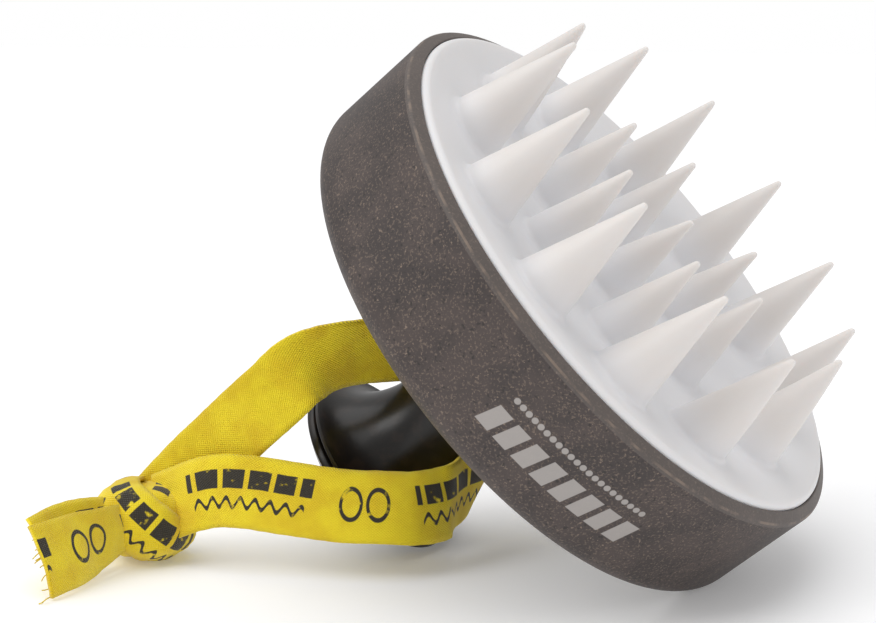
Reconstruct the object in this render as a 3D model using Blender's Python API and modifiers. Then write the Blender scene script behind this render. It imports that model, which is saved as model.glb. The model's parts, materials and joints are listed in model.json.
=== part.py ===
"""Scalp massager brush: a round cup with a silicone cone pad, a knob on its back and a woven hanging strap.

The brush lies tilted on the floor (z = 0), on the back edge of its body and the rim of its knob. Its own
axis runs from the knob to the cones. Heights along that axis are measured from the rim plane of the body,
positive towards the cones, and the whole model hangs under two empties: brush_axis, which carries the tilt,
and layout, which puts the centre of the base on the world origin.
"""

import math

import bmesh
import bpy
from mathutils import Vector

MM = 0.001
GAP = 0.3 * MM
SEGMENTS = 48
SMALL_SEGMENTS = 24

# Body: a cup that is open to the front
BODY_RADIUS = 37.5 * MM
BODY_HEIGHT = 17.6 * MM
BODY_WALL = 3.5 * MM
BACK_THICKNESS = 3.0 * MM
BACK_FILLET = 3.3 * MM
LIP_WIDTH = 1.5 * MM
LIP_FILLET = 0.7 * MM

# Silicone pad: a dished disc with a hooked skirt round its carrier, and nineteen cones
PAD_PROUD = 0.6 * MM
PAD_SKIN = 2.6 * MM
DISH_RADIUS = 131.0 * MM
PAD_EDGE_FILLET = 0.8 * MM
PAD_SKIRT = 1.5 * MM
HOOK_REACH = 2.0 * MM
HOOK_THICKNESS = 1.4 * MM
OUTER_RING_RADIUS = 26.0 * MM
OUTER_CONES = 12
OUTER_CONE_HEIGHT = 16.2 * MM
OUTER_CONE_RADIUS = 4.2 * MM
INNER_RING_RADIUS = 13.3 * MM
INNER_CONES = 6
INNER_CONE_HEIGHT = 14.4 * MM
INNER_CONE_RADIUS = 3.7 * MM
CONE_TURN = math.radians(-2.5)
CONE_TIP_RADIUS = 0.8 * MM
CONE_FLARE = 0.8 * MM
CONE_SEGMENTS = 12
CONE_ROOT = 1.2 * MM

# Pad carrier and the screws that hold it to the body
CARRIER_THICKNESS = 2.8 * MM
CARRIER_SCREWS = 3
CARRIER_SCREW_CIRCLE = 20.0 * MM
BOSS_RADIUS = 3.2 * MM
CARRIER_SHANK_RADIUS = 1.2 * MM
CARRIER_HEAD_RADIUS = 2.3 * MM
CARRIER_HEAD_HEIGHT = 1.2 * MM
CARRIER_HEAD_WEB = 0.9 * MM
CARRIER_SCREW_BITE = 6.0 * MM

# Knob: a neck that flares out to a rim, closed by a domed cap
NECK_RADIUS = 6.3 * MM
NECK_LENGTH = 13.2 * MM
KNOB_RADIUS = 12.8 * MM
FLARE_LENGTH = 12.0 * MM
RIM_THICKNESS = 0.7 * MM
CAP_EDGE = 1.0 * MM
CAP_DOME = 4.7 * MM
CAP_SOCKET_RADIUS = 7.0 * MM
CAP_SOCKET_DEPTH = 2.8 * MM

# Screw that holds the knob to the body, from inside
KNOB_SHANK_RADIUS = 2.0 * MM
KNOB_HEAD_RADIUS = 3.6 * MM
KNOB_HEAD_HEIGHT = 2.2 * MM
KNOB_SCREW_BITE = 12.0 * MM
WASHER_RADIUS = 4.6 * MM
WASHER_THICKNESS = 0.8 * MM

# Woven strap, doubled round the neck and knotted
STRAP_WIDTH = 10.0 * MM
STRAP_THICKNESS = 0.8 * MM
STRAP_LANDING = 9.5 * MM
KNOT_AWAY = 36.8 * MM
KNOT_ASIDE = -20.5 * MM
KNOT_SIZE = Vector((12.5, 12.0, 10.4)) * MM
TAIL_LENGTH = 14.5 * MM

# Heights along the brush axis that follow from the sizes above
BACK = -BODY_HEIGHT
BACK_INSIDE = BACK + BACK_THICKNESS
KNOB_FRONT = BACK - GAP
FLARE_START = KNOB_FRONT - NECK_LENGTH
RIM_FRONT = FLARE_START - FLARE_LENGTH
RIM_BACK = RIM_FRONT - RIM_THICKNESS
CAP_FRONT = RIM_BACK - GAP
PAD_RADIUS = BODY_RADIUS - LIP_WIDTH - GAP
PAD_FACE_RADIUS = PAD_RADIUS - PAD_EDGE_FILLET
PAD_INSIDE_RADIUS = PAD_RADIUS - PAD_SKIRT
HOOK_RADIUS = PAD_INSIDE_RADIUS - HOOK_REACH
CARRIER_RADIUS = PAD_INSIDE_RADIUS - GAP


def pad_face(r):
    """Height of the pad's dished face at a radius."""
    return PAD_PROUD - (PAD_FACE_RADIUS**2 - r**2) / (2 * DISH_RADIUS)


def carrier_top(r):
    return pad_face(r) - PAD_SKIN - GAP


def carrier_bottom(r):
    return carrier_top(r) - CARRIER_THICKNESS


HOOK_BOTTOM = carrier_bottom(HOOK_RADIUS) - GAP - HOOK_THICKNESS
SEAT = HOOK_BOTTOM - GAP
BOSS_TOP = carrier_bottom(CARRIER_SCREW_CIRCLE - BOSS_RADIUS) - GAP
HEAD_FLOOR = carrier_bottom(CARRIER_SCREW_CIRCLE) + CARRIER_HEAD_WEB
CARRIER_SCREW_TIP = BOSS_TOP - CARRIER_SCREW_BITE


def dish(height, radius, steps=8):
    """Points (r, z) along a dished surface, from the axis outwards."""
    return [(radius * i / steps, height(radius * i / steps)) for i in range(steps + 1)]


def arc(centre_r, centre_z, radius, start, end, steps):
    """Points (r, z) on an arc, from one angle to another in degrees."""
    angles = [math.radians(start + (end - start) * i / steps) for i in range(steps + 1)]
    return [(centre_r + radius * math.cos(a), centre_z + radius * math.sin(a)) for a in angles]


def body_profile():
    """Outside of the body from the lip to the back."""
    lip = arc(BODY_RADIUS - LIP_FILLET, -LIP_FILLET, LIP_FILLET, 90, 0, 3)
    back = arc(BODY_RADIUS - BACK_FILLET, BACK + BACK_FILLET, BACK_FILLET, 0, -90, 7)
    return lip + back


def cap_profile():
    """Outside of the knob's cap: a short straight edge, then a dome to the axis."""
    edge_back = CAP_FRONT - CAP_EDGE
    ball = (KNOB_RADIUS**2 + CAP_DOME**2) / (2 * CAP_DOME)
    start = math.degrees(math.asin(KNOB_RADIUS / ball)) - 90
    dome = arc(0, edge_back - CAP_DOME + ball, ball, start, -90, 7)
    return [(KNOB_RADIUS, CAP_FRONT)] + dome[:-1] + [(0, dome[-1][1])]


def rest_tilt():
    """Angle of the brush axis above the floor when the body's back edge and the cap both touch it."""
    flat = math.cos(math.pi / SEGMENTS)

    def depth(profile, tilt):
        return max(r * flat * math.cos(tilt) - z * math.sin(tilt) for r, z in profile)

    low, high = 0.1, 1.4
    for _ in range(50):
        middle = (low + high) / 2
        if depth(body_profile(), middle) > depth(cap_profile(), middle):
            low = middle
        else:
            high = middle
    return low


def collection(name, helpers=False):
    made = bpy.data.collections.new(name)
    bpy.context.scene.collection.children.link(made)
    made.hide_render = helpers
    return made


def material(name, colour, roughness, metallic=0.0):
    made = bpy.data.materials.new(name)
    made.use_nodes = True
    shader = made.node_tree.nodes["Principled BSDF"]
    shader.inputs["Base Color"].default_value = (*colour, 1)
    shader.inputs["Roughness"].default_value = roughness
    shader.inputs["Metallic"].default_value = metallic
    return made


class Workshop:
    """Makes objects under the brush's empties and keeps cutters apart from parts."""

    def __init__(self):
        self.parts = collection("scalp_massager_brush")
        self.helpers = collection("helpers", helpers=True)
        self.layout = self.empty("layout", None)
        self.axis = self.empty("brush_axis", self.layout)
        self.axis.rotation_euler = (0, math.pi / 2 - rest_tilt(), 0)

    def empty(self, name, parent):
        made = bpy.data.objects.new(name, None)
        made.empty_display_size = 20 * MM
        made.parent = parent
        self.parts.objects.link(made)
        return made

    def add(self, name, mesh, parent, helper=False):
        made = bpy.data.objects.new(name, mesh)
        (self.helpers if helper else self.parts).objects.link(made)
        made.parent = parent
        made.hide_render = helper
        made.display_type = "WIRE" if helper else "TEXTURED"
        return made

    def turned(self, name, profile, segments=SEGMENTS, helper=False):
        """A closed profile of (r, z) points, turned round the brush axis with a flat facet facing the floor.

        An edge that lies on the axis would turn into nothing, so it is left out.
        """
        mesh = bpy.data.meshes.new(name)
        ring = list(zip(range(len(profile)), list(range(1, len(profile))) + [0]))
        edges = [(i, j) for i, j in ring if profile[i][0] > 0 or profile[j][0] > 0]
        mesh.from_pydata([(r, 0, z) for r, z in profile], edges, [])
        made = self.add(name, mesh, self.axis, helper)
        made.rotation_euler = (0, 0, math.pi / segments)
        screw = made.modifiers.new("turn", "SCREW")
        screw.steps = segments
        screw.render_steps = segments
        screw.use_merge_vertices = True
        screw.merge_threshold = 0.001 * MM
        return made

    def cut(self, target, tool, operation="DIFFERENCE"):
        boolean = target.modifiers.new(tool.name, "BOOLEAN")
        boolean.operation = operation
        boolean.object = tool

    def hole(self, target, name, radius, top, bottom, place=(0, 0)):
        """A straight round hole along the brush axis."""
        outline = [(0, top), (radius, top), (radius, bottom), (0, bottom)]
        tool = self.turned(name, outline, SMALL_SEGMENTS, True)
        tool.location = (*place, 0)
        self.cut(target, tool)


def screw_profile(head_top, head_radius, head_height, shank_radius, tip):
    """A pan head and its shank, down to a blunt point."""
    crown = head_height * 0.35
    under = head_top - head_height
    return [
        (0, head_top),
        (head_radius - crown, head_top),
        (head_radius, head_top - crown),
        (head_radius, under),
        (shank_radius, under),
        (shank_radius, tip + shank_radius),
        (shank_radius * 0.3, tip),
        (0, tip),
    ]


def around(radius, count, offset=0.0):
    """Places evenly spaced on a circle round the brush axis, the first towards the floor."""
    angles = [offset + math.tau * i / count for i in range(count)]
    return [(radius * math.cos(a), radius * math.sin(a)) for a in angles]


def screw_places():
    """Where the carrier's screws are, between the cones."""
    return around(CARRIER_SCREW_CIRCLE, CARRIER_SCREWS, math.pi / 3)


def make_body(shop):
    """The cup, with the seat for the pad, the screw bosses and the hole for the knob's screw."""
    mouth = PAD_RADIUS + GAP
    inside = BODY_RADIUS - BODY_WALL
    profile = body_profile() + [
        (0, BACK),
        (0, BACK_INSIDE),
        (inside, BACK_INSIDE),
        (inside, SEAT),
        (mouth, SEAT),
        (mouth, 0),
    ]
    body = shop.turned("body_shell", profile)
    root = BACK_INSIDE - BACK_THICKNESS / 2
    outline = [(0, BOSS_TOP), (BOSS_RADIUS, BOSS_TOP), (BOSS_RADIUS, root), (0, root)]
    for number, place in enumerate(screw_places(), 1):
        boss = shop.turned(f"boss_{number}", outline, SMALL_SEGMENTS, True)
        boss.location = (*place, 0)
        shop.cut(body, boss, "UNION")
    for number, place in enumerate(screw_places(), 1):
        radius = CARRIER_SHANK_RADIUS + GAP
        shop.hole(body, f"pilot_{number}", radius, BOSS_TOP + GAP, CARRIER_SCREW_TIP - 2 * GAP, place)
    shop.hole(body, "knob_screw_hole", KNOB_SHANK_RADIUS + GAP, BACK_INSIDE + GAP, BACK - GAP)
    return body


def make_carrier(shop):
    """The rigid plate inside the silicone, with a counterbored hole for each screw."""
    plate = dish(carrier_top, CARRIER_RADIUS) + dish(carrier_bottom, CARRIER_RADIUS)[::-1]
    carrier = shop.turned("pad_carrier", plate)
    above = carrier_top(CARRIER_RADIUS)
    below = carrier_bottom(0)
    clear = CARRIER_SHANK_RADIUS + GAP
    seat = CARRIER_HEAD_RADIUS + GAP
    stepped = [
        (0, above),
        (seat, above),
        (seat, HEAD_FLOOR),
        (clear, HEAD_FLOOR),
        (clear, below),
        (0, below),
    ]
    for number, place in enumerate(screw_places(), 1):
        tool = shop.turned(f"carrier_hole_{number}", stepped, SMALL_SEGMENTS, True)
        tool.location = (*place, 0)
        shop.cut(carrier, tool)
    return carrier


def make_carrier_screw(shop, number, place):
    top = HEAD_FLOOR + GAP + CARRIER_HEAD_HEIGHT
    sizes = (CARRIER_HEAD_RADIUS, CARRIER_HEAD_HEIGHT, CARRIER_SHANK_RADIUS)
    profile = screw_profile(top, *sizes, CARRIER_SCREW_TIP)
    screw = shop.turned(f"carrier_screw_{number}", profile, SMALL_SEGMENTS)
    screw.location = (*place, 0)
    drive(shop, screw, top, CARRIER_HEAD_RADIUS * 0.45, CARRIER_HEAD_HEIGHT * 0.6, place)
    return screw


def drive(shop, screw, top, radius, depth, place=(0, 0)):
    """A hexagon socket in a screw's head."""
    outline = [(0, top + GAP), (radius, top + GAP), (radius, top - depth), (0, top - depth)]
    socket = shop.turned(f"{screw.name}_socket", outline, 6, True)
    socket.location = (*place, 0)
    shop.cut(screw, socket)


def cone_profile(radius, height, base):
    """A straight cone with a rounded tip, standing on its base height with a flared foot."""
    slope = math.degrees(math.atan2(height, radius - CONE_TIP_RADIUS))
    tip = arc(0, base + height - CONE_TIP_RADIUS, CONE_TIP_RADIUS, 90, 90 - slope, 3)
    foot = [
        (radius, base + CONE_FLARE),
        (radius + CONE_FLARE * 0.35, base + CONE_FLARE * 0.35),
        (radius + CONE_FLARE, base),
        (radius + CONE_FLARE, base - CONE_ROOT),
        (0, base - CONE_ROOT),
    ]
    return [(0, tip[0][1])] + tip[1:] + foot


def make_pad(shop):
    """The silicone moulding: dish, skirt and hook, with a ring of tall cones round a ring of shorter ones."""
    edge = arc(PAD_FACE_RADIUS, PAD_PROUD - PAD_EDGE_FILLET, PAD_EDGE_FILLET, 90, 0, 3)
    skirt = [
        (PAD_RADIUS, HOOK_BOTTOM),
        (HOOK_RADIUS, HOOK_BOTTOM),
        (HOOK_RADIUS, HOOK_BOTTOM + HOOK_THICKNESS),
        (PAD_INSIDE_RADIUS, HOOK_BOTTOM + HOOK_THICKNESS),
    ]
    underside = [(r, z - PAD_SKIN) for r, z in dish(pad_face, PAD_INSIDE_RADIUS)]
    profile = dish(pad_face, PAD_FACE_RADIUS)[:-1] + edge + skirt + underside[::-1]
    pad = shop.turned("silicone_pad", profile)
    outer_ring = around(OUTER_RING_RADIUS, OUTER_CONES, CONE_TURN)
    inner_ring = around(INNER_RING_RADIUS, INNER_CONES, CONE_TURN)
    rings = [
        (outer_ring, OUTER_CONE_RADIUS, OUTER_CONE_HEIGHT),
        (inner_ring, INNER_CONE_RADIUS, INNER_CONE_HEIGHT),
        ([(0, 0)], INNER_CONE_RADIUS, INNER_CONE_HEIGHT),
    ]
    number = 0
    for places, radius, height in rings:
        for place in places:
            number += 1
            profile = cone_profile(radius, height, pad_face(math.hypot(*place)))
            cone = shop.turned(f"cone_{number}", profile, CONE_SEGMENTS, True)
            cone.location = (*place, 0)
            shop.cut(pad, cone, "UNION")
    return pad


def make_knob(shop):
    """The neck and its flare, hollowed for the cap's socket and drilled for its screw."""
    steps = 8
    flare = []
    for i in range(1, steps + 1):
        along = math.sin(math.pi / 2 * i / steps)
        out = (KNOB_RADIUS - NECK_RADIUS) * (1 - math.sqrt(max(0.0, 1 - along * along)))
        flare.append((NECK_RADIUS + out, FLARE_START - FLARE_LENGTH * along))
    profile = [(0, KNOB_FRONT), (NECK_RADIUS, KNOB_FRONT), (NECK_RADIUS, FLARE_START)] + flare + [
        (KNOB_RADIUS, RIM_BACK),
        (CAP_SOCKET_RADIUS, RIM_BACK),
        (CAP_SOCKET_RADIUS, RIM_BACK + CAP_SOCKET_DEPTH),
        (0, RIM_BACK + CAP_SOCKET_DEPTH),
    ]
    knob = shop.turned("knob", profile)
    depth = KNOB_FRONT - KNOB_SCREW_BITE - 2 * GAP
    shop.hole(knob, "knob_pilot", KNOB_SHANK_RADIUS + GAP, KNOB_FRONT + GAP, depth)
    return knob


def make_cap(shop):
    """The domed cap, with the spigot that goes into the knob's socket."""
    spigot = CAP_SOCKET_RADIUS - GAP
    top = RIM_BACK + CAP_SOCKET_DEPTH - GAP
    profile = [(0, top), (spigot, top), (spigot, CAP_FRONT)] + cap_profile()
    return shop.turned("knob_cap", profile)


def make_knob_screw(shop):
    """The screw through the body's back into the neck, and the washer under its head."""
    washer_bottom = BACK_INSIDE + GAP
    washer_top = washer_bottom + WASHER_THICKNESS
    bore = KNOB_SHANK_RADIUS + GAP
    ring = [
        (WASHER_RADIUS, washer_top),
        (WASHER_RADIUS, washer_bottom),
        (bore, washer_bottom),
        (bore, washer_top),
    ]
    washer = shop.turned("knob_washer", ring, SMALL_SEGMENTS)
    top = washer_top + GAP + KNOB_HEAD_HEIGHT
    tip = KNOB_FRONT - KNOB_SCREW_BITE
    profile = screw_profile(top, KNOB_HEAD_RADIUS, KNOB_HEAD_HEIGHT, KNOB_SHANK_RADIUS, tip)
    screw = shop.turned("knob_screw", profile, SMALL_SEGMENTS)
    drive(shop, screw, top, KNOB_HEAD_RADIUS * 0.45, KNOB_HEAD_HEIGHT * 0.6)
    return screw, washer


# Where the strap goes, as (share of the way from the knot to the neck, sideways, upwards, lean of the
# upper edge away from +Y, in degrees) on the two strands, in millimetres
UPPER_STRAND = (
    (0.00, 0.0, 0.0, 5),
    (0.20, -3.0, 2.6, 22),
    (0.44, -6.4, 5.2, 45),
    (0.62, -5.0, 6.6, 35),
    (0.80, -2.4, 5.4, 15),
)
LOWER_STRAND = (
    (0.50, -2.6, 1.2, 20),
    (0.22, -3.2, 1.4, 6),
    (0.00, 0.0, 0.0, 5),
)
# The wrap round the neck: (angle from the floor side in degrees, distance off the neck, distance along it)
WRAP = (
    (168, 0.5, 0.0),
    (130, 0.6, 0.6),
    (92, 1.1, 1.8),
    (52, 2.0, 3.8),
    (14, 3.4, 6.0),
    (-16, 4.6, 7.6),
    (-42, 6.8, 9.2),
    (-58, 9.0, 10.6),
    (-68, 10.4, 12.8),
    (-78, 11.2, 16.4),
)


def spline(values, position):
    """Catmull-Rom value at a position counted in control points."""
    last = len(values) - 1
    index = min(int(position), last - 1)
    t = position - index
    p0 = values[max(index - 1, 0)]
    p1 = values[index]
    p2 = values[index + 1]
    p3 = values[min(index + 2, last)]
    bend = 2 * p0 - 5 * p1 + 4 * p2 - p3
    twist = 3 * p1 - 3 * p2 + p3 - p0
    return 0.5 * (2 * p1 + (p2 - p0) * t + bend * t**2 + twist * t**3)


def strand(table, start, end):
    """Centre points and directions of the upper edge, along one strand."""
    points = []
    edges = []
    for share, aside, rise, lean in table:
        points.append(start.lerp(end, share) + Vector((0, aside, rise)) * MM)
        tip = math.radians(lean)
        edges.append(Vector((0, math.sin(tip), math.cos(tip))))
    return points, edges


class Strap:
    """The strap's route in world space, before the layout empty moves it."""

    def __init__(self, tilt, floor):
        self.ahead = Vector((math.cos(tilt), 0, math.sin(tilt)))
        self.down = Vector((math.sin(tilt), 0, -math.cos(tilt)))
        self.side = Vector((0, 1, 0))
        self.landing = KNOB_FRONT - STRAP_LANDING
        neck = self.ahead * self.landing
        self.knot = Vector((neck.x - KNOT_AWAY, KNOT_ASIDE, floor + KNOT_SIZE.z / 2))

    def wrap_point(self, angle, off, along):
        turn = math.radians(angle)
        radius = NECK_RADIUS + STRAP_THICKNESS + off * MM
        out = self.down * math.cos(turn) + self.side * math.sin(turn)
        return self.ahead * (self.landing - along * MM) + out * radius

    def route(self):
        """Centre points and directions of the upper edge, from the knot round the neck and back."""
        wrap = [self.wrap_point(*row) for row in WRAP]
        start = self.knot + Vector((7.0, 1.0, 4.4)) * MM
        end = self.knot + Vector((7.0, -2.2, 2.4)) * MM
        upper, upper_edges = strand(UPPER_STRAND, start, wrap[0])
        lower, lower_edges = strand(LOWER_STRAND, end, wrap[-1])
        wrap_edges = []
        for index in range(len(wrap)):
            lift = max(0.0, (index - 5) / (len(wrap) - 6))
            upright = Vector((0, 0.5, 0.85))
            wrap_edges.append(self.ahead.lerp(upright, lift).normalized())
        return upper + wrap + lower, upper_edges + wrap_edges + lower_edges


def strip(shop, name, points, edges, start, end):
    """A stretch of strap between two positions on its route, one strap width across."""
    rows = max(4, round((end - start) * 4))
    mesh = bpy.data.meshes.new(name)
    grid = bmesh.new()
    bmesh.ops.create_grid(grid, x_segments=rows, y_segments=2, size=1)
    for vertex in grid.verts:
        position = start + (end - start) * (vertex.co.x + 1) / 2
        centre = spline(points, position)
        along = spline(points, position + 0.01) - spline(points, position - 0.01)
        edge = spline(edges, position)
        across = (edge - along * edge.dot(along) / along.length_squared).normalized()
        vertex.co = centre + across * (vertex.co.y * STRAP_WIDTH / 2)
    grid.to_mesh(mesh)
    grid.free()
    made = shop.add(name, mesh, shop.layout)
    solidify = made.modifiers.new("thickness", "SOLIDIFY")
    solidify.thickness = STRAP_THICKNESS
    solidify.offset = 0
    return made


def make_knot(shop, strap):
    """The overhand knot as one rounded lump, resting on the floor."""
    mesh = bpy.data.meshes.new("strap_knot")
    ball = bmesh.new()
    bmesh.ops.create_uvsphere(ball, u_segments=20, v_segments=12, radius=0.5)
    for vertex in ball.verts:
        # A little squarer than a ball, as folded ribbon is
        vertex.co = Vector([math.copysign(abs(2 * c) ** 0.8 / 2, c) for c in vertex.co])
        vertex.co = Vector([c * size for c, size in zip(vertex.co, KNOT_SIZE)])
    ball.to_mesh(mesh)
    ball.free()
    knot = shop.add("strap_knot", mesh, shop.layout)
    knot.location = strap.knot
    return knot


def make_strap(shop, strap):
    """The loop in three stretches, the knot, and the two tails."""
    points, edges = strap.route()
    last = len(points) - 1
    wrap_start = len(UPPER_STRAND) - 0.5
    wrap_end = last - len(LOWER_STRAND) - 3.5
    split = 0.05
    made = [
        strip(shop, "strap_upper", points, edges, 0.0, wrap_start - split),
        strip(shop, "strap_wrap", points, edges, wrap_start + split, wrap_end - split),
        strip(shop, "strap_lower", points, edges, wrap_end + split, last),
        make_knot(shop, strap),
    ]
    up = Vector((0, 0, 1))
    for name, start, sweep, lean in (
        ("strap_tail_left", Vector((-3.0, -6.8, 0.2)), Vector((-2.2, -20.0, -0.6)), -0.4),
        ("strap_tail_right", Vector((1.6, -7.2, -0.4)), Vector((0.4, -19.5, 0.0)), 0.3),
    ):
        base = strap.knot + start * MM
        way = sweep.normalized() * TAIL_LENGTH
        route = [base, base + way * 0.5 + Vector((0, 0, 0.4)) * MM, base + way]
        edge = (up + Vector((lean, 0, 0))).normalized()
        made.append(strip(shop, name, route, [edge] * 3, 0.0, 2.0))
    return made


def world_corners(objects):
    graph = bpy.context.evaluated_depsgraph_get()
    points = []
    for item in objects:
        evaluated = item.evaluated_get(graph)
        mesh = evaluated.to_mesh()
        points += [evaluated.matrix_world @ vertex.co for vertex in mesh.vertices]
        evaluated.to_mesh_clear()
    low = Vector([min(p[i] for p in points) for i in range(3)])
    high = Vector([max(p[i] for p in points) for i in range(3)])
    return low, high


def finish(shop, finishes):
    """Materials, and the move that puts the base's centre on the origin."""
    for item, look in finishes:
        item.data.materials.append(look)
    bpy.context.view_layer.update()
    low, high = world_corners([item for item, _ in finishes])
    shop.layout.location -= Vector(((low.x + high.x) / 2, (low.y + high.y) / 2, low.z))
    bpy.context.view_layer.update()


def main():
    for item in list(bpy.data.objects):
        bpy.data.objects.remove(item)
    shop = Workshop()
    composite = material("composite", (0.075, 0.056, 0.052), 0.6)
    silicone = material("silicone", (0.78, 0.78, 0.80), 0.45)
    plastic = material("carrier_plastic", (0.55, 0.55, 0.55), 0.5)
    gloss = material("knob_gloss", (0.02, 0.015, 0.013), 0.25)
    steel = material("screw_steel", (0.6, 0.6, 0.6), 0.35, 1.0)
    ribbon = material("ribbon", (0.9, 0.72, 0.02), 0.8)

    finishes = [
        (make_body(shop), composite),
        (make_carrier(shop), plastic),
        (make_pad(shop), silicone),
        (make_knob(shop), gloss),
        (make_cap(shop), gloss),
    ]
    finishes += [(item, steel) for item in make_knob_screw(shop)]
    for number, place in enumerate(screw_places(), 1):
        finishes.append((make_carrier_screw(shop, number, place), steel))
    bpy.context.view_layer.update()
    floor = world_corners([item for item, _ in finishes])[0].z
    strap = Strap(rest_tilt(), floor)
    finishes += [(item, ribbon) for item in make_strap(shop, strap)]
    finish(shop, finishes)


main()
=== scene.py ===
"""Scalp massager brush on a pale floor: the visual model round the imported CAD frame.

Lengths in the constants are in millimetres. The brush's own frame has its origin in the middle of the
body's rim plane: heights run along the brush axis towards the cones, radii away from it, and angles from
the side that faces the floor.
"""

import json
import math
import random

import bmesh
import bpy
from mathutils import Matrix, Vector, noise
from mathutils.geometry import delaunay_2d_cdt


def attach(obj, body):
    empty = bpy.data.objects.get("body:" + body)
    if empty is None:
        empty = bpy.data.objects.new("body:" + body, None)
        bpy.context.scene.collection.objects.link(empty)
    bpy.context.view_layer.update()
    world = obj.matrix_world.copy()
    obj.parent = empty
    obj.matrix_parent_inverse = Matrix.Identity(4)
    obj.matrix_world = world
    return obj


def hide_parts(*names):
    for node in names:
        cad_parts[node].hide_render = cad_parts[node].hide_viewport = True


MM = 0.001
RIM_ABOVE_JOINT = 27.0

# Camera, from the middle of the rim plane
CAMERA_OFFSET = Vector((75.55, -224.45, 30.90))
CAMERA_AZIMUTH = 24.35
CAMERA_ELEVATION = 8.87
CAMERA_LENS = 79.0

# Body
TURNS = 192
BODY_RADIUS = 37.5
BODY_BACK = -17.6
BACK_FILLET = 3.3
LIP_DROP = 0.7
MOUTH_RADIUS = 35.86
SEAT = -7.8
BODY_WALL = 3.5
BACK_THICKNESS = 3.0
MOTIF_ANGLE = -62.5
MOTIF_HEIGHT = -10.0

# Silicone pad
PAD_RADIUS = 35.8
PAD_TOP = 0.6
PAD_SKIN = 2.6
PAD_EDGE = 0.8
DISH_RADIUS = 131.0
PAD_HOOK = (-7.5, -6.1)
PAD_SKIRT = 1.5
PAD_HOOK_REACH = 2.0
CONE_TURN = -2.5
OUTER_CONE = {"ring": 26.0, "count": 12, "height": 16.2, "radius": 4.2, "foot": 0.8}
INNER_CONE = {"ring": 13.3, "count": 6, "height": 14.4, "radius": 3.7, "foot": 0.8}
MIDDLE_CONE = {"ring": 0.0, "count": 1, "height": 14.4, "radius": 3.7, "foot": 0.8}
CONE_TIP = 0.42
CONE_POINTS = 36
# Soft cones that lean, as number round the ring: (outwards, sideways)
OUTER_LEANS = {
    0: (-1.2, -1.5),
    1: (-1.2, -1.2),
    4: (1.2, 0.0),
    6: (-0.2, 3.8),
    7: (-0.6, -1.3),
    11: (1.6, -3.0),
}
INNER_LEANS = {1: (-1.2, -1.5), 3: (0.0, -1.1)}
MIDDLE_LEANS = {0: (1.0, -1.8)}

# Knob
KNOB_FRONT = -17.9
NECK_RADIUS = 6.3
NECK_LENGTH = 13.2
KNOB_RADIUS = 12.8
FLARE_LENGTH = 12.0
RIM_THICKNESS = 0.7
CAP_GAP = 0.3
CAP_EDGE = 1.0
CAP_DOME = 4.7

# Ribbon
RIBBON_WIDTH = 10.0
RIBBON_SHARE = 0.92
RIBBON_THICKNESS = 0.55
LOOP_PRINT_SHIFT = -7.0
NECK_LANDING = -28.4
# Rising strand from the knot to the top of the neck: centre, then the way its upper edge points
RISE = (
    ((-57.0, -19.0, 6.6), (-0.60, 0.10, 0.75)),
    ((-53.2, -18.0, 10.7), (-0.70, -0.05, 0.68)),
    ((-48.7, -17.0, 15.2), (-0.72, -0.10, 0.66)),
    ((-44.8, -16.3, 18.9), (-0.70, -0.12, 0.68)),
    ((-41.6, -15.2, 22.0), (-0.55, -0.12, 0.80)),
    ((-38.9, -13.6, 24.8), (-0.25, -0.10, 0.92)),
    ((-36.0, -10.2, 26.2), (0.15, -0.10, 0.95)),
    ((-32.3, -5.0, 26.5), (0.42, 0.00, 0.90)),
)
# Round the neck: angle from the floor side, distance off the neck, distance along it away from the body
WRAP = ((168, 0.3, 0.0), (130, 0.5, 0.6), (92, 0.9, 1.8), (52, 1.6, 3.6), (14, 3.0, 5.8))
# Front strand from under the neck back to the knot
FRONT = (
    ((-20.9, -4.0, 8.9), (0.10, 0.45, 0.88)),
    ((-20.9, -9.0, 8.4), (0.00, 0.50, 0.86)),
    ((-22.9, -13.3, 8.5), (0.00, 0.50, 0.86)),
    ((-26.6, -15.8, 8.8), (0.00, 0.48, 0.87)),
    ((-31.5, -17.5, 8.9), (0.00, 0.45, 0.89)),
    ((-37.7, -19.0, 9.5), (0.00, 0.40, 0.91)),
    ((-42.9, -20.0, 10.0), (0.00, 0.35, 0.93)),
    ((-47.6, -20.6, 9.8), (0.00, 0.30, 0.95)),
    ((-51.5, -21.0, 8.6), (0.00, 0.30, 0.95)),
    ((-56.0, -21.0, 6.6), (0.00, 0.30, 0.95)),
)
KNOT_CENTRE = Vector((-58.0, -20.7, 5.15))
KNOT_HALVES = Vector((5.2, 5.0, 4.35))
# Turns of the knot: (the way the turn's own axis points, how far out of the core, half width, print shift)
KNOT_TURNS = (
    ((-0.62, -0.40, 0.68), 1.06, 4.0, 0.0),
    ((0.60, 0.32, 0.74), 1.17, 4.2, 6.0),
)
# Tails: (centre, way the upper edge points, share of the full width)
TAIL_FRONT = (
    ((-57.6, -23.5, 5.4), (-0.10, 0.20, 0.97), 0.55),
    ((-57.9, -28.5, 5.2), (-0.15, 0.20, 0.97), 0.72),
    ((-58.3, -34.5, 4.9), (-0.25, 0.20, 0.95), 0.92),
    ((-59.2, -41.4, 4.7), (-0.28, 0.21, 0.94), 0.98),
)
TAIL_BACK = (
    ((-60.0, -23.5, 5.8), (-0.20, 0.10, 0.97), 0.55),
    ((-61.2, -28.5, 5.8), (-0.30, 0.10, 0.95), 0.75),
    ((-61.8, -32.5, 5.5), (-0.40, 0.10, 0.90), 0.88),
    ((-61.7, -37.8, 5.0), (-0.46, 0.10, 0.88), 0.92),
)
THREADS = 16

# Light
SKY_LIGHT = 0.60
SKY_SEEN = 1.0
SUN_LIGHT = 1.25
FLOOR_GLOW = 0.14


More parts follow.
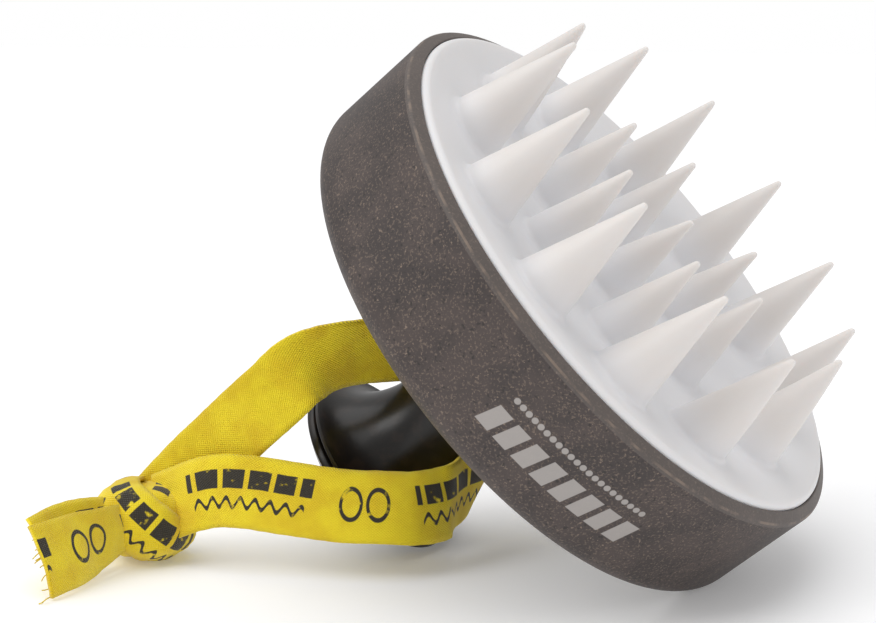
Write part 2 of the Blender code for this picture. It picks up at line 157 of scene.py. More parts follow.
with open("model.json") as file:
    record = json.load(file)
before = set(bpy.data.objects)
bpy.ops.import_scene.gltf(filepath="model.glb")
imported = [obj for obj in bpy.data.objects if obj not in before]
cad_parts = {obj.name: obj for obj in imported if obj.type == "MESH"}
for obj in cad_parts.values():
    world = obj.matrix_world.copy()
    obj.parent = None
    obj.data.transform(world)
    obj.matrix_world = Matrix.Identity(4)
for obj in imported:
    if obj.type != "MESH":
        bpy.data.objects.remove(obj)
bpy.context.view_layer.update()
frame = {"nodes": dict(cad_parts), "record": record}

JOINT = frame["record"]["behaviour"]["joints"][0]
AHEAD = Vector(JOINT["axis"]).normalized()
SIDE = Vector((0, 1, 0))
DOWN = SIDE.cross(AHEAD).normalized()
CENTRE = Vector(JOINT["pos_m"]) + AHEAD * RIM_ABOVE_JOINT * MM


def brush_point(radius, angle, height):
    """A point in the row frame, from millimetres and radians in the brush's own frame."""
    out = DOWN * math.cos(angle) + SIDE * math.sin(angle)
    return CENTRE + (AHEAD * height + out * radius) * MM


def floor_point(x, y, z):
    """A point in the row frame, from millimetres beside the middle of the rim plane and above the floor."""
    return Vector((CENTRE.x + x * MM, CENTRE.y + y * MM, z * MM))


def arc(centre_r, centre_h, radius, start, end, steps):
    """Points (radius, height) on an arc between two angles in degrees."""
    angles = [math.radians(start + (end - start) * i / steps) for i in range(steps + 1)]
    return [(centre_r + radius * math.cos(a), centre_h + radius * math.sin(a)) for a in angles]


def mesh_object(name, points, faces, uvs=None):
    """A smooth mesh object. uvs holds one pair per point of each face."""
    mesh = bpy.data.meshes.new(name)
    mesh.from_pydata(points, [], faces)
    if uvs:
        layer = mesh.uv_layers.new(name="UVMap")
        for loop, pair in zip(layer.data, uvs):
            loop.uv = pair
    mesh.shade_smooth()
    made = bpy.data.objects.new(name, mesh)
    bpy.context.scene.collection.objects.link(made)
    return made


def lathe_mesh(profile, turns=TURNS):
    """Points, faces and uvs of a profile turned round the brush axis.

    u is the way round in millimetres at the body's radius, v the way along the profile in millimetres.
    """
    points = []
    faces = []
    uvs = []
    travel = [0.0]
    for (r0, h0), (r1, h1) in zip(profile, profile[1:]):
        travel.append(travel[-1] + math.hypot(r1 - r0, h1 - h0))
    for step in range(turns):
        angle = math.tau * step / turns
        points += [brush_point(r, angle, h) for r, h in profile]
    rows = len(profile)
    for step in range(turns):
        after = (step + 1) % turns
        left = math.tau * step / turns * BODY_RADIUS
        right = math.tau * (step + 1) / turns * BODY_RADIUS
        for row in range(rows - 1):
            corners = (
                (step * rows + row, left, travel[row]),
                (after * rows + row, right, travel[row]),
                (after * rows + row + 1, right, travel[row + 1]),
                (step * rows + row + 1, left, travel[row + 1]),
            )
            faces.append([index for index, _, _ in corners])
            uvs += [(u, v) for _, u, v in corners]
    return points, faces, uvs


def tidy_mesh(obj, distance=0.002 * MM):
    """Merges the points that meet and turns the faces outwards."""
    work = bmesh.new()
    work.from_mesh(obj.data)
    bmesh.ops.remove_doubles(work, verts=work.verts, dist=distance)
    bmesh.ops.recalc_face_normals(work, faces=work.faces)
    work.to_mesh(obj.data)
    work.free()
    obj.data.shade_smooth()


def sharpen(obj, degrees):
    obj.data.set_sharp_from_angle(angle=math.radians(degrees))


# ---------------------------------------------------------------- materials


class Nodes:
    """Short calls for a material's node tree."""

    def __init__(self, name):
        self.material = bpy.data.materials.new(name)
        self.material.use_nodes = True
        self.tree = self.material.node_tree
        self.shader = self.tree.nodes["Principled BSDF"]

    def set(self, **values):
        for name, value in values.items():
            self.shader.inputs[name.replace("_", " ")].default_value = value

    def add(self, kind, **settings):
        node = self.tree.nodes.new(kind)
        for name, value in settings.items():
            setattr(node, name, value)
        return node

    def link(self, output, target):
        if hasattr(output, "links"):
            self.tree.links.new(output, target)
        else:
            target.default_value = output

    def math(self, operation, first, second=0.0, third=None):
        node = self.add("ShaderNodeMath", operation=operation)
        self.link(first, node.inputs[0])
        self.link(second, node.inputs[1])
        if third is not None:
            self.link(third, node.inputs[2])
        return node.outputs[0]

    def mix(self, factor, first, second):
        node = self.add("ShaderNodeMix", data_type="RGBA")
        self.link(factor, node.inputs[0])
        self.link(first, node.inputs[6])
        self.link(second, node.inputs[7])
        return node.outputs[2]

    def noise(self, scale, detail=3.0, vector=None, roughness=0.5):
        node = self.add("ShaderNodeTexNoise")
        node.inputs["Scale"].default_value = scale
        node.inputs["Detail"].default_value = detail
        node.inputs["Roughness"].default_value = roughness
        self.link(vector or self.position(), node.inputs["Vector"])
        return node.outputs["Fac"]

    def position(self):
        return self.add("ShaderNodeTexCoord").outputs["Object"]

    def uv(self):
        split = self.add("ShaderNodeSeparateXYZ")
        self.link(self.add("ShaderNodeTexCoord").outputs["UV"], split.inputs[0])
        return split.outputs[0], split.outputs[1]

    def ramp(self, value, low, high):
        """0 below low, 1 above high, and a smooth rise between."""
        node = self.add("ShaderNodeMapRange", interpolation_type="SMOOTHSTEP")
        self.link(value, node.inputs["Value"])
        node.inputs["From Min"].default_value = low
        node.inputs["From Max"].default_value = high
        return node.outputs["Result"]

    def band(self, value, low, high, soft):
        """1 between low and high, falling to 0 over soft on either side."""
        rise = self.ramp(value, low - soft, low)
        fall = self.ramp(value, high, high + soft)
        return self.math("SUBTRACT", rise, fall)

    def bump(self, height, distance, strength=1.0):
        node = self.add("ShaderNodeBump")
        node.inputs["Distance"].default_value = distance
        node.inputs["Strength"].default_value = strength
        self.link(height, node.inputs["Height"])
        self.link(node.outputs["Normal"], self.shader.inputs["Normal"])


COMPOSITE_DARK = (0.040, 0.030, 0.028, 1)
COMPOSITE_BROWN = (0.064, 0.047, 0.042, 1)
FLECK_TAN = (0.27, 0.20, 0.15, 1)
FLECK_BLACK = (0.018, 0.014, 0.013, 1)
LIP_GREY = (0.130, 0.108, 0.096, 1)
PRINT_GREY = (0.40, 0.37, 0.35, 1)


def composite_material():
    """Matte speckled bio-composite, with a paler grey band on the lip, a tan line along the lip's ridge that
    is painted highlight mixed with wear, and a pale generic motif on the side.
    """
    n = Nodes("composite")
    n.set(Roughness=0.55)
    cloudy = n.ramp(n.noise(180, 4), 0.38, 0.66)
    colour = n.mix(cloudy, COMPOSITE_DARK, COMPOSITE_BROWN)
    grain = n.math("MULTIPLY", n.ramp(n.noise(3600, 2), 0.52, 0.70), 0.38)
    colour = n.mix(grain, colour, FLECK_TAN)
    colour = n.mix(n.math("MULTIPLY", n.ramp(n.noise(2400, 2), 0.66, 0.74), 0.7), colour, FLECK_TAN)
    colour = n.mix(n.math("MULTIPLY", n.ramp(n.noise(1700, 2), 0.60, 0.72), 0.8), colour, FLECK_BLACK)
    u, v = n.uv()
    lip = n.band(v, LIP_START, LIP_END, 0.12)
    colour = n.mix(n.math("MULTIPLY", lip, 0.55), colour, LIP_GREY)
    # Painted highlight with wear: a tan line along the lip's ridge, where the edge catches the light, broken
    # up by noise.
    ridge = n.band(v, RIDGE_AT - 0.10, RIDGE_AT + 0.10, 0.10)
    worn = n.math("MULTIPLY", ridge, n.math("MULTIPLY", n.ramp(n.noise(420, 3), 0.40, 0.62), 0.55))
    colour = n.mix(worn, colour, FLECK_TAN)
    colour = n.mix(n.math("MULTIPLY", body_motif(n, u, v), 0.85), colour, PRINT_GREY)
    n.link(colour, n.shader.inputs["Base Color"])
    n.bump(n.noise(1400, 3), 0.00005, 0.6)
    return n.material


def body_motif(n, u, v):
    """Two rows of plain shapes: slanted blocks and, beside them, small dots."""
    along = n.math("SUBTRACT", u, (MOTIF_ANGLE % 360) / 360 * math.tau * BODY_RADIUS)
    down = n.math("SUBTRACT", v, SIDE_START + MOTIF_DOWN)
    slanted = n.math("ADD", along, n.math("MULTIPLY", down, 0.25))
    blocks = n.band(n.math("PINGPONG", slanted, 1.45), 0.45, 1.45, 0.08)
    row = n.band(down, -1.6, 1.6, 0.08)
    span = n.band(along, -11.6, 11.6, 0.08)
    upper = n.math("MULTIPLY", n.math("MULTIPLY", blocks, row), span)
    dot_u = n.math("SUBTRACT", n.math("PINGPONG", along, 0.95), 0.475)
    dot_v = n.math("ADD", down, 3.4)
    away = n.math("SQRT", n.math("ADD", n.math("POWER", dot_u, 2), n.math("POWER", dot_v, 2)))
    dots = n.math("SUBTRACT", 1.0, n.ramp(away, 0.34, 0.44))
    dots = n.math("MULTIPLY", dots, n.band(along, -10.4, 10.4, 0.08))
    return n.math("MAXIMUM", upper, dots)


PAD_WHITE = (0.76, 0.755, 0.77, 1)
# Painted shade: the cones turn a greyer, warmer colour than the pad's face, standing in for the shade on
# their sides.
CONE_SHADE_GREY = (0.72, 0.685, 0.66, 1)
CONE_SHADE_HEIGHTS = (-2.0 * MM, 5.0 * MM)


def silicone_material():
    n = Nodes("silicone")
    n.set(Roughness=0.45, Subsurface_Weight=0.35, Subsurface_Scale=0.0015, IOR=1.41)
    height = n.add("ShaderNodeVectorMath", operation="DOT_PRODUCT")
    n.link(n.position(), height.inputs[0])
    height.inputs[1].default_value = AHEAD
    rise = n.math("SUBTRACT", height.outputs["Value"], CENTRE.dot(AHEAD))
    # Painted shade on the cones, rising from their feet to full strength a few millimetres up.
    cone_shade = n.ramp(rise, *CONE_SHADE_HEIGHTS)
    n.link(n.mix(cone_shade, PAD_WHITE, CONE_SHADE_GREY), n.shader.inputs["Base Color"])
    n.set(Subsurface_Radius=(1.0, 0.85, 0.75))
    n.bump(n.noise(700, 2), 0.00002, 0.4)
    return n.material


def knob_material():
    n = Nodes("knob_gloss")
    n.set(Roughness=0.30, Specular_IOR_Level=0.4)
    colour = n.mix(n.ramp(n.noise(500, 3), 0.45, 0.7), (0.008, 0.006, 0.005, 1), (0.020, 0.013, 0.010, 1))
    n.link(colour, n.shader.inputs["Base Color"])
    n.bump(n.noise(900, 2), 0.00003, 0.4)
    return n.material


def plain_material(name, colour, roughness, metallic=0.0, grain=800):
    n = Nodes(name)
    n.set(Roughness=roughness, Metallic=metallic)
    darker = tuple(c * 0.8 for c in colour[:3]) + (1,)
    n.link(n.mix(n.noise(grain, 2), darker, colour), n.shader.inputs["Base Color"])
    return n.material


YELLOW = (0.94, 0.74, 0.010, 1)
YELLOW_DEEP = (0.82, 0.58, 0.004, 1)
INK = (0.030, 0.024, 0.014, 1)


def ribbon_material(name, printed):
    """Yellow weave, on one side with a generic printed row of blocks, a wavy line and rings."""
    n = Nodes(name)
    n.set(Roughness=0.85, Sheen_Weight=0.25, Sheen_Roughness=0.5)
    u, v = n.uv()
    warp = n.math("SINE", n.math("MULTIPLY", u, math.tau / 0.42))
    weft = n.math("SINE", n.math("MULTIPLY", v, math.tau / 0.36))
    weave = n.math("MULTIPLY", warp, weft)
    colour = n.mix(n.ramp(n.noise(260, 3), 0.35, 0.7), YELLOW, YELLOW_DEEP)
    colour = n.mix(n.math("MULTIPLY", n.ramp(weave, 0.1, 1.0), 0.25), colour, YELLOW_DEEP)
    if printed:
        colour = n.mix(ribbon_print(n, u, v), colour, INK)
    n.link(colour, n.shader.inputs["Base Color"])
    rough = n.math("ADD", weave, n.math("MULTIPLY", n.noise(2600, 2), 1.5))
    n.bump(rough, 0.00010, 0.6)
    return n.material


def ribbon_print(n, u, v):
    """v runs across the ribbon from its lower edge, in millimetres."""
    pitch = 30.0
    place = n.math("FLOORED_MODULO", u, pitch)
    block_row = n.math("MULTIPLY", n.band(v, 5.4, 7.9, 0.12), n.band(place, 1.5, 18.0, 0.12))
    blocks = n.math("MULTIPLY", block_row, n.band(n.math("PINGPONG", place, 1.7), 0.38, 1.7, 0.10))
    wave = n.math("MULTIPLY", n.math("SINE", n.math("MULTIPLY", place, 3.1)), 0.62)
    line = n.math("ABSOLUTE", n.math("SUBTRACT", n.math("SUBTRACT", v, 3.4), wave))
    line = n.math("SUBTRACT", 1.0, n.ramp(line, 0.26, 0.40))
    line = n.math("MULTIPLY", line, n.band(place, 2.2, 17.4, 0.12))
    rings = 0.0
    for middle in (23.0, 26.4):
        du = n.math("SUBTRACT", place, middle)
        dv = n.math("MULTIPLY", n.math("SUBTRACT", v, 5.2), 0.62)
        away = n.math("SQRT", n.math("ADD", n.math("POWER", du, 2), n.math("POWER", dv, 2)))
        rings = n.math("MAXIMUM", rings, n.band(away, 1.15, 1.45, 0.10))
    printed = n.math("MAXIMUM", n.math("MAXIMUM", blocks, line), rings)
    worn = n.ramp(n.noise(900, 2), 0.25, 0.42)
    return n.math("MULTIPLY", printed, worn)


# ---------------------------------------------------------------- brush body

LIP_CURVE = arc(BODY_RADIUS - 0.55, -LIP_DROP - 0.35, 0.55, 62, 0, 6)
LIP_PROFILE = [(MOUTH_RADIUS, -0.25), (MOUTH_RADIUS + 0.06, -0.06), (MOUTH_RADIUS + 0.22, 0.0)]
INNER_LENGTH = (BODY_RADIUS - BODY_WALL) + (SEAT - BODY_BACK - BACK_THICKNESS)
INNER_LENGTH += (MOUTH_RADIUS - BODY_RADIUS + BODY_WALL) + (-0.25 - SEAT)
LIP_START = INNER_LENGTH + 0.2
LIP_END = INNER_LENGTH + 2.3
RIDGE_AT = INNER_LENGTH + 1.85
SIDE_START = INNER_LENGTH + 2.3
MOTIF_DOWN = -MOTIF_HEIGHT - 1.0


def make_body():
    """The cup, closed at the back, with a sloping lip and a rounded back edge."""
    inside = BODY_RADIUS - BODY_WALL
    floor = BODY_BACK + BACK_THICKNESS
    profile = [(0.001, floor), (inside, floor), (inside, SEAT), (MOUTH_RADIUS, SEAT)]
    profile += LIP_PROFILE + LIP_CURVE
    steps = 8
    top = profile[-1][1]
    bottom = BODY_BACK + BACK_FILLET
    profile += [(BODY_RADIUS, top + (bottom - top) * i / steps) for i in range(1, steps)]
    profile += arc(BODY_RADIUS - BACK_FILLET, bottom, BACK_FILLET, 0, -90, 12)
    profile += [(20.0, BODY_BACK), (0.001, BODY_BACK)]
    body = mesh_object("body", *lathe_mesh(profile))
    tidy_mesh(body)
    sharpen(body, 40)
    body.data.materials.append(composite_material())
    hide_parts("body_shell")
    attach(body, "brush")
    return body


# ---------------------------------------------------------------- silicone pad


def pad_face(r):
    """Height of the pad's dished face at a radius."""
    return PAD_TOP - ((PAD_RADIUS - PAD_EDGE) ** 2 - r**2) / (2 * DISH_RADIUS)


def cone_rings(cone):
    """(radius, height) pairs from a cone's tip down to where its foot meets the pad's face."""
    slope = math.atan2(cone["height"], cone["radius"] - CONE_TIP)
    rings = [(0.0, cone["height"])]
    for step in range(1, 5):
        turn = slope * step / 4
        drop = CONE_TIP * (1 - math.cos(turn))
        rings.append((CONE_TIP * math.sin(turn), cone["height"] - drop))
    low = cone["foot"] * 1.1
    r0, h0 = rings[-1]
    r1 = cone["radius"] - (cone["radius"] - CONE_TIP) * low / cone["height"]
    for step in range(1, 12):
        share = step / 11
        rings.append((r0 + (r1 - r0) * share, h0 + (low - h0) * share))
    for step in range(1, 9):
        share = step / 8
        out = r1 + (cone["radius"] + cone["foot"] - r1) * (1 - math.sqrt(1 - share**2)) ** 0.9
        rings.append((out, low * (1 - share)))
    return rings


def cone_list():
    """(x, y, cone, lean) for each cone, in pad coordinates in millimetres."""
    found = []
    for cone, leans in ((OUTER_CONE, OUTER_LEANS), (INNER_CONE, INNER_LEANS), (MIDDLE_CONE, MIDDLE_LEANS)):
        for number in range(cone["count"]):
            angle = math.radians(CONE_TURN) + math.tau * number / cone["count"]
            out, aside = leans.get(number, (0.0, 0.0))
            lean = Vector((math.cos(angle), math.sin(angle))) * out
            lean += Vector((-math.sin(angle), math.cos(angle))) * aside
            place = (cone["ring"] * math.cos(angle), cone["ring"] * math.sin(angle))
            found.append((*place, cone, lean))
    return found


def pad_surface():
    """Flat points, triangles, and each point's height over the dished face and sideways shift."""
    flat = []
    lifted = []
    limits = []
    for x, y, cone, lean in cone_list():
        rings = cone_rings(cone)
        limits.append((x, y, rings[-1][0] + 0.5))
        for radius, height in rings:
            share = max(0.0, height / cone["height"])
            shift = lean * share**1.5
            count = 1 if radius == 0 else CONE_POINTS
            for step in range(count):
                angle = math.tau * step / count
                flat.append(Vector((x + radius * math.cos(angle), y + radius * math.sin(angle))))
                lifted.append((height, shift.x, shift.y))
    pitch = 1.3
    reach = PAD_RADIUS - PAD_EDGE
    steps = int(reach / pitch) + 1
    for i in range(-steps, steps + 1):
        for j in range(-steps, steps + 1):
            x = i * pitch + (j % 2) * pitch / 2
            y = j * pitch * math.sqrt(3) / 2
            if math.hypot(x, y) > reach - 0.6:
                continue
            if all(math.hypot(x - a, y - b) > r for a, b, r in limits):
                flat.append(Vector((x, y)))
                lifted.append((0.0, 0.0, 0.0))
    for step in range(TURNS):
        angle = math.tau * step / TURNS
        flat.append(Vector((reach * math.cos(angle), reach * math.sin(angle))))
        lifted.append((0.0, 0.0, 0.0))
    points, _, faces, origin, _, _ = delaunay_2d_cdt(flat, [], [], 0, 1e-5)
    return points, faces, [lifted[found[0]] for found in origin]


def make_pad():
    """One moulding: the cones and face as one surface, then the rounded edge, skirt, hook and underside."""
    flat, faces, lifted = pad_surface()
    points = []
    for place, (height, dx, dy) in zip(flat, lifted):
        x, y = place.x + dx, place.y + dy
        face_height = pad_face(place.length)
        points.append(brush_point(math.hypot(x, y), math.atan2(y, x), face_height + height))
    start = len(points)
    edge = arc(PAD_RADIUS - PAD_EDGE, PAD_TOP - PAD_EDGE, PAD_EDGE, 90, 0, 6)
    inside = PAD_RADIUS - PAD_SKIRT
    hook = inside - PAD_HOOK_REACH
    low, high = PAD_HOOK
    profile = edge + [(PAD_RADIUS, low), (hook, low), (hook, high), (inside, high)]
    steps = 10
    for step in range(steps + 1):
        r = max(0.001, inside * (1 - step / steps))
        profile.append((r, pad_face(r) - PAD_SKIN))
    more, ring_faces, _ = lathe_mesh(profile)
    points += more
    faces = [list(face) for face in faces] + [[start + i for i in face] for face in ring_faces]
    pad = mesh_object("pad", points, faces)
    tidy_mesh(pad)
    sharpen(pad, 60)
    pad.data.materials.append(silicone_material())
    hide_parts("silicone_pad")
    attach(pad, "brush")
    return pad


# ---------------------------------------------------------------- knob


def make_knob():
    """The neck with its flare, and the domed cap behind it."""
    flare_start = KNOB_FRONT - NECK_LENGTH
    rim_back = flare_start - FLARE_LENGTH - RIM_THICKNESS
    profile = [(0.001, KNOB_FRONT), (NECK_RADIUS - 0.3, KNOB_FRONT), (NECK_RADIUS, KNOB_FRONT - 0.3)]
    steps = 20
    for step in range(steps + 1):
        along = math.sin(math.pi / 2 * step / steps)
        out = (KNOB_RADIUS - NECK_RADIUS) * (1 - math.sqrt(max(0.0, 1 - along * along)))
        profile.append((NECK_RADIUS + out, flare_start - FLARE_LENGTH * along))
    rim_round = RIM_THICKNESS / 2
    profile += arc(KNOB_RADIUS - rim_round, rim_back + rim_round, rim_round, 0, -90, 4)
    profile += [(0.001, rim_back)]
    knob = mesh_object("knob_turned", *lathe_mesh(profile, 128))
    tidy_mesh(knob)
    sharpen(knob, 50)
    cap_front = rim_back - CAP_GAP
    edge_back = cap_front - CAP_EDGE
    ball = (KNOB_RADIUS**2 + CAP_DOME**2) / (2 * CAP_DOME)
    start = math.degrees(math.asin(KNOB_RADIUS / ball)) - 90
    dome = arc(0, edge_back - CAP_DOME + ball, ball, start, -90, 16)
    profile = [(0.001, cap_front), (KNOB_RADIUS - 0.2, cap_front), (KNOB_RADIUS, cap_front - 0.2)]
    profile += dome[:-1] + [(0.001, dome[-1][1])]
    cap = mesh_object("knob_dome", *lathe_mesh(profile, 128))
    tidy_mesh(cap)
    sharpen(cap, 50)
    look = knob_material()
    for piece, node in ((knob, "knob"), (cap, "knob_cap")):
        piece.data.materials.append(look)
        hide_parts(node)
        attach(piece, "brush")


def dress_inner_pieces():
    """The carrier, washer and screws inside the body keep their CAD meshes."""
    plastic = plain_material("carrier_plastic", (0.55, 0.55, 0.55, 1), 0.5)
    steel = plain_material("screw_steel", (0.62, 0.62, 0.60, 1), 0.3, 1.0, 3000)
    for name, node in frame["nodes"].items():
        if name == "pad_carrier":
            node.data.materials.clear()
            node.data.materials.append(plastic)
        elif "screw" in name or "washer" in name:
            node.data.materials.clear()
            node.data.materials.append(steel)


# ---------------------------------------------------------------- ribbon


def spline(values, position):
    """Catmull-Rom value at a position counted in control points."""
    last = len(values) - 1
    index = min(int(position), last - 1)
    t = position - index
    p0 = values[max(index - 1, 0)]
    p1 = values[index]
    p2 = values[index + 1]
    p3 = values[min(index + 2, last)]
    bend = 2 * p0 - 5 * p1 + 4 * p2 - p3
    twist = 3 * p1 - 3 * p2 + p3 - p0
    return 0.5 * (2 * p1 + (p2 - p0) * t + bend * t**2 + twist * t**3)


def neck_point(angle, off, along):
    turn = math.radians(angle)
    radius = NECK_RADIUS + RIBBON_THICKNESS / 2 + off
    return brush_point(radius, turn, NECK_LANDING - along)


def loop_route():
    """Centre points and upper-edge directions from the knot, over the neck and back."""
    route = [(floor_point(*centre), Vector(edge)) for centre, edge in RISE]
    for number, row in enumerate(WRAP):
        lift = max(0, number - 2) / 4
        edge = AHEAD.lerp(Vector((0.1, 0.45, 0.88)), lift)
        if number == 0:
            edge = AHEAD.lerp(Vector((0.3, 0.0, 0.95)), 0.4)
        route.append((neck_point(*row), edge))
    route += [(floor_point(*centre), Vector(edge)) for centre, edge in FRONT]
    return [centre for centre, _ in route], [edge.normalized() for _, edge in route]


class Ribbon:
    """Collects the stretches of one ribbon as a single mesh."""

    across = 12

    def __init__(self):
        self.points = []
        self.faces = []
        self.uvs = []
        self.travel = 0.0

    def rows(self, lines, shift=0.0, turned=False):
        """Joins lines of points across the ribbon. shift moves the print along it, turned swaps its sides."""
        start = len(self.points)
        middle = self.across // 2
        travel = [self.travel + shift]
        for before, after in zip(lines, lines[1:]):
            travel.append(travel[-1] + (after[middle] - before[middle]).length / MM)
        for line in lines:
            self.points += line
        width = self.across + 1
        for row in range(len(lines) - 1):
            for column in range(self.across):
                a = start + row * width + column
                corners = [a, a + 1, a + 1 + width, a + width]
                low = column / self.across * RIBBON_WIDTH
                high = (column + 1) / self.across * RIBBON_WIDTH
                u0, u1 = travel[row], travel[row + 1]
                places = [(u0, low), (u0, high), (u1, high), (u1, low)]
                self.faces.append(corners[::-1] if turned else corners)
                self.uvs += places[::-1] if turned else places
        self.travel = travel[-1] - shift

    def stretch(self, centres, edges, widths=None, cup=0.0, wave=0.25, shift=0.0):
        """A strip along a spline, a little wavy and bellied."""
        last = len(centres) - 1
        count = last * 14
        lines = []
        for row in range(count + 1):
            position = last * row / count
            centre = spline(centres, position)
            ahead = spline(centres, min(last, position + 0.02)) - spline(centres, max(0, position - 0.02))
            edge = spline(edges, position)
            across = (edge - ahead * edge.dot(ahead) / ahead.length_squared).normalized()
            normal = ahead.cross(across).normalized()
            width = RIBBON_WIDTH * RIBBON_SHARE * (spline(widths, position) if widths else 1.0)
            line = []
            for column in range(self.across + 1):
                side = column / self.across * 2 - 1
                point = centre + across * side * width / 2 * MM
                ripple = noise.noise(point * 180) * wave + noise.noise(point * 600) * wave * 0.25
                point += normal * (ripple + cup * (side * side - 0.4)) * MM
                point += across * noise.noise(point * 900 + Vector((side, 0, 0))) * 0.06 * MM
                line.append(point)
            lines.append(line)
        self.rows(lines, shift)


def knot_surface(direction, out):
    """The point on the knot's rounded core in that direction, scaled outwards."""
    scaled = Vector([d / half for d, half in zip(direction, KNOT_HALVES)])
    blunt = sum(abs(c) ** 2.5 for c in scaled) ** (1 / 2.5)
    return KNOT_CENTRE + direction / blunt * out


def knot_turn(ribbon, axis, out, half_width, shift):
    """One turn of ribbon round the knot's core."""
    axis = Vector(axis).normalized()
    first = axis.orthogonal().normalized()
    second = axis.cross(first)
    count = 72
    lines = []
    for row in range(count + 1):
        angle = math.tau * row / count
        way = first * math.cos(angle) + second * math.sin(angle)
        line = []
        for column in range(ribbon.across + 1):
            side = column / ribbon.across * 2 - 1
            direction = (way * 5.0 + axis * side * half_width).normalized()
            place = knot_surface(direction, out - 0.03 * side * side)
            crease = noise.noise(place * 0.45 + axis * 3) * 0.30 + noise.noise(place * 1.3) * 0.12
            place += direction * crease
            line.append(floor_point(place.x, place.y, max(0.45, place.z)))
        lines.append(line)
    ribbon.rows(lines, shift, True)


def knot_core():
    """The folds inside the knot, as a creased lump."""
    ball = bmesh.new()
    bmesh.ops.create_icosphere(ball, subdivisions=5, radius=1.0)
    for vertex in ball.verts:
        direction = vertex.co.normalized()
        crease = abs(noise.noise(direction * 2.2)) * 0.08 + abs(noise.noise(direction * 5)) * 0.03
        place = knot_surface(direction, 1.03 - crease)
        vertex.co = floor_point(place.x, place.y, max(0.3, place.z))
    mesh = bpy.data.meshes.new("ribbon_knot_core")
    ball.to_mesh(mesh)
    ball.free()
    mesh.shade_smooth()
    core = bpy.data.objects.new("ribbon_knot_core", mesh)
    bpy.context.scene.collection.objects.link(core)
    layer = mesh.uv_layers.new(name="UVMap")
    for loop in mesh.loops:
        place = mesh.vertices[loop.vertex_index].co / MM
        layer.data[loop.index].uv = (place.x, place.z * 0.2 + 0.2)
    return core


def threads():
    """Loose threads at the cut ends of the tails."""
    random.seed(7)
    curve = bpy.data.curves.new("ribbon_threads", "CURVE")
    curve.dimensions = "3D"
    curve.bevel_depth = 0.07 * MM
    curve.bevel_resolution = 1
    for number in range(THREADS):
        tail = (TAIL_FRONT, TAIL_BACK)[number % 2]
        centre, edge, share = tail[-1]
        before = Vector(tail[-2][0])
        side = random.uniform(-0.97, 0.97) * RIBBON_WIDTH / 2 * share
        start = Vector(centre) + Vector(edge).normalized() * side
        ahead = (Vector(centre) - before).normalized()
        start -= ahead * 0.4
        long = random.uniform(0.8, 2.0)
        sway = Vector((random.uniform(-0.5, 0.5), 0, random.uniform(-0.7, 0.3)))
        line = curve.splines.new("POLY")
        line.points.add(5)
        for step, point in enumerate(line.points):
            share_along = step / 5
            place = start + ahead * long * share_along + sway * long * share_along**2 * 0.8
            point.co = (*floor_point(place.x, place.y, max(0.1, place.z)), 1)
    made = bpy.data.objects.new("ribbon_threads", curve)
    bpy.context.scene.collection.objects.link(made)
    return made


def make_ribbon():
    """Loop, knot and tails of one printed ribbon."""
    ribbon = Ribbon()
    ribbon.stretch(*loop_route(), cup=0.25, shift=LOOP_PRINT_SHIFT)
    for turn in KNOT_TURNS:
        knot_turn(ribbon, *turn)
    for tail in (TAIL_FRONT, TAIL_BACK):
        centres = [floor_point(*centre) for centre, _, _ in tail]
        edges = [Vector(edge).normalized() for _, edge, _ in tail]
        ribbon.stretch(centres, edges, [share for _, _, share in tail], cup=0.5, wave=0.5)
    made = mesh_object("ribbon", ribbon.points, ribbon.faces, ribbon.uvs)
    print("ribbon length, mm:", round(ribbon.travel, 1))
    solidify = made.modifiers.new("thickness", "SOLIDIFY")
    solidify.thickness = RIBBON_THICKNESS * MM
    solidify.offset = 0
    solidify.material_offset = 1
    solidify.material_offset_rim = 1
    core = knot_core()
    loose = threads()
    plain = ribbon_material("ribbon", False)
    made.data.materials.append(ribbon_material("ribbon_printed", True))
    for piece in (made, core, loose):
        piece.data.materials.append(plain)
    straps = [name for name in frame["nodes"] if name.startswith("strap_")]
    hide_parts(*straps)
    for piece in (made, core, loose):
        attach(piece, "strap")


# ---------------------------------------------------------------- floor, lights and camera


def make_floor():
    mesh = bpy.data.meshes.new("floor")
    size = 3.0
    corners = [(-size, -size, 0), (size, -size, 0), (size, size, 0), (-size, size, 0)]
    mesh.from_pydata(corners, [], [(0, 1, 2, 3)])
    floor = bpy.data.objects.new("floor", mesh)
    bpy.context.scene.collection.objects.link(floor)
    n = Nodes("floor")
    n.set(Base_Color=(0.93, 0.93, 0.94, 1), Roughness=0.6)
    n.set(Emission_Color=(1, 1, 1, 1), Emission_Strength=FLOOR_GLOW)
    mesh.materials.append(n.material)


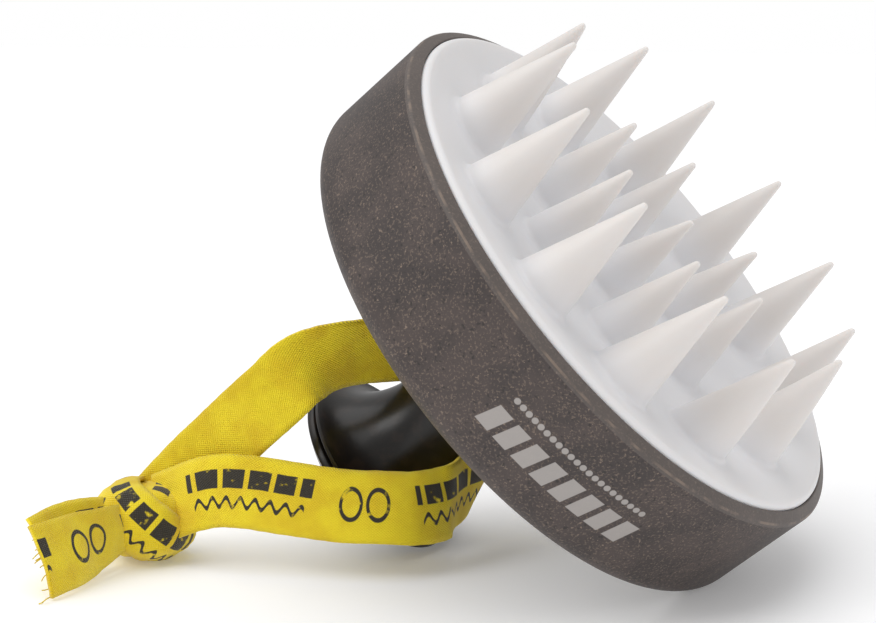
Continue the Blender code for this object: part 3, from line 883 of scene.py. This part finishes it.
def area_light(name, place, size, power):
    """A soft square light aimed at the brush."""
    light = bpy.data.lights.new(name, "AREA")
    light.size = size
    light.energy = power
    made = bpy.data.objects.new(name, light)
    bpy.context.scene.collection.objects.link(made)
    made.location = place
    made.rotation_euler = (CENTRE - made.location).to_track_quat("-Z", "Y").to_euler()


def make_world():
    """Even white light all round, a little brighter where the camera sees it directly."""
    world = bpy.data.worlds.new("studio")
    world.use_nodes = True
    tree = world.node_tree
    sky = tree.nodes["Background"]
    sky.inputs["Color"].default_value = (1, 1, 1, 1)
    path = tree.nodes.new("ShaderNodeLightPath")
    pick = tree.nodes.new("ShaderNodeMapRange")
    pick.inputs["To Min"].default_value = SKY_LIGHT
    pick.inputs["To Max"].default_value = SKY_SEEN
    tree.links.new(path.outputs["Is Camera Ray"], pick.inputs["Value"])
    tree.links.new(pick.outputs["Result"], sky.inputs["Strength"])
    bpy.context.scene.world = world


def make_lights():
    make_world()
    sun = bpy.data.lights.new("overhead", "SUN")
    sun.energy = SUN_LIGHT
    sun.angle = math.radians(70)
    made = bpy.data.objects.new("overhead", sun)
    bpy.context.scene.collection.objects.link(made)
    made.rotation_euler = Vector((0.25, 0.15, -1.0)).to_track_quat("-Z", "Y").to_euler()
    area_light("front_left", Vector((-0.45, -0.55, 0.55)), 0.35, 1.3)
    area_light("right", Vector((0.70, -0.10, 0.35)), 0.4, 0.5)
    bpy.context.scene.view_settings.view_transform = "Standard"


def make_camera():
    data = bpy.data.cameras.new("camera")
    data.lens = CAMERA_LENS
    data.sensor_width = 36.0
    data.clip_start = 0.01
    data.clip_end = 20.0
    camera = bpy.data.objects.new("camera", data)
    bpy.context.scene.collection.objects.link(camera)
    camera.location = CENTRE + CAMERA_OFFSET * MM
    azimuth = math.radians(CAMERA_AZIMUTH)
    elevation = math.radians(CAMERA_ELEVATION)
    ahead = Vector((
        -math.sin(azimuth) * math.cos(elevation),
        math.cos(azimuth) * math.cos(elevation),
        -math.sin(elevation),
    ))
    camera.rotation_euler = ahead.to_track_quat("-Z", "Y").to_euler()
    bpy.context.scene.camera = camera


make_body()
make_pad()
make_knob()
dress_inner_pieces()
make_ribbon()
make_floor()
make_lights()
make_camera()
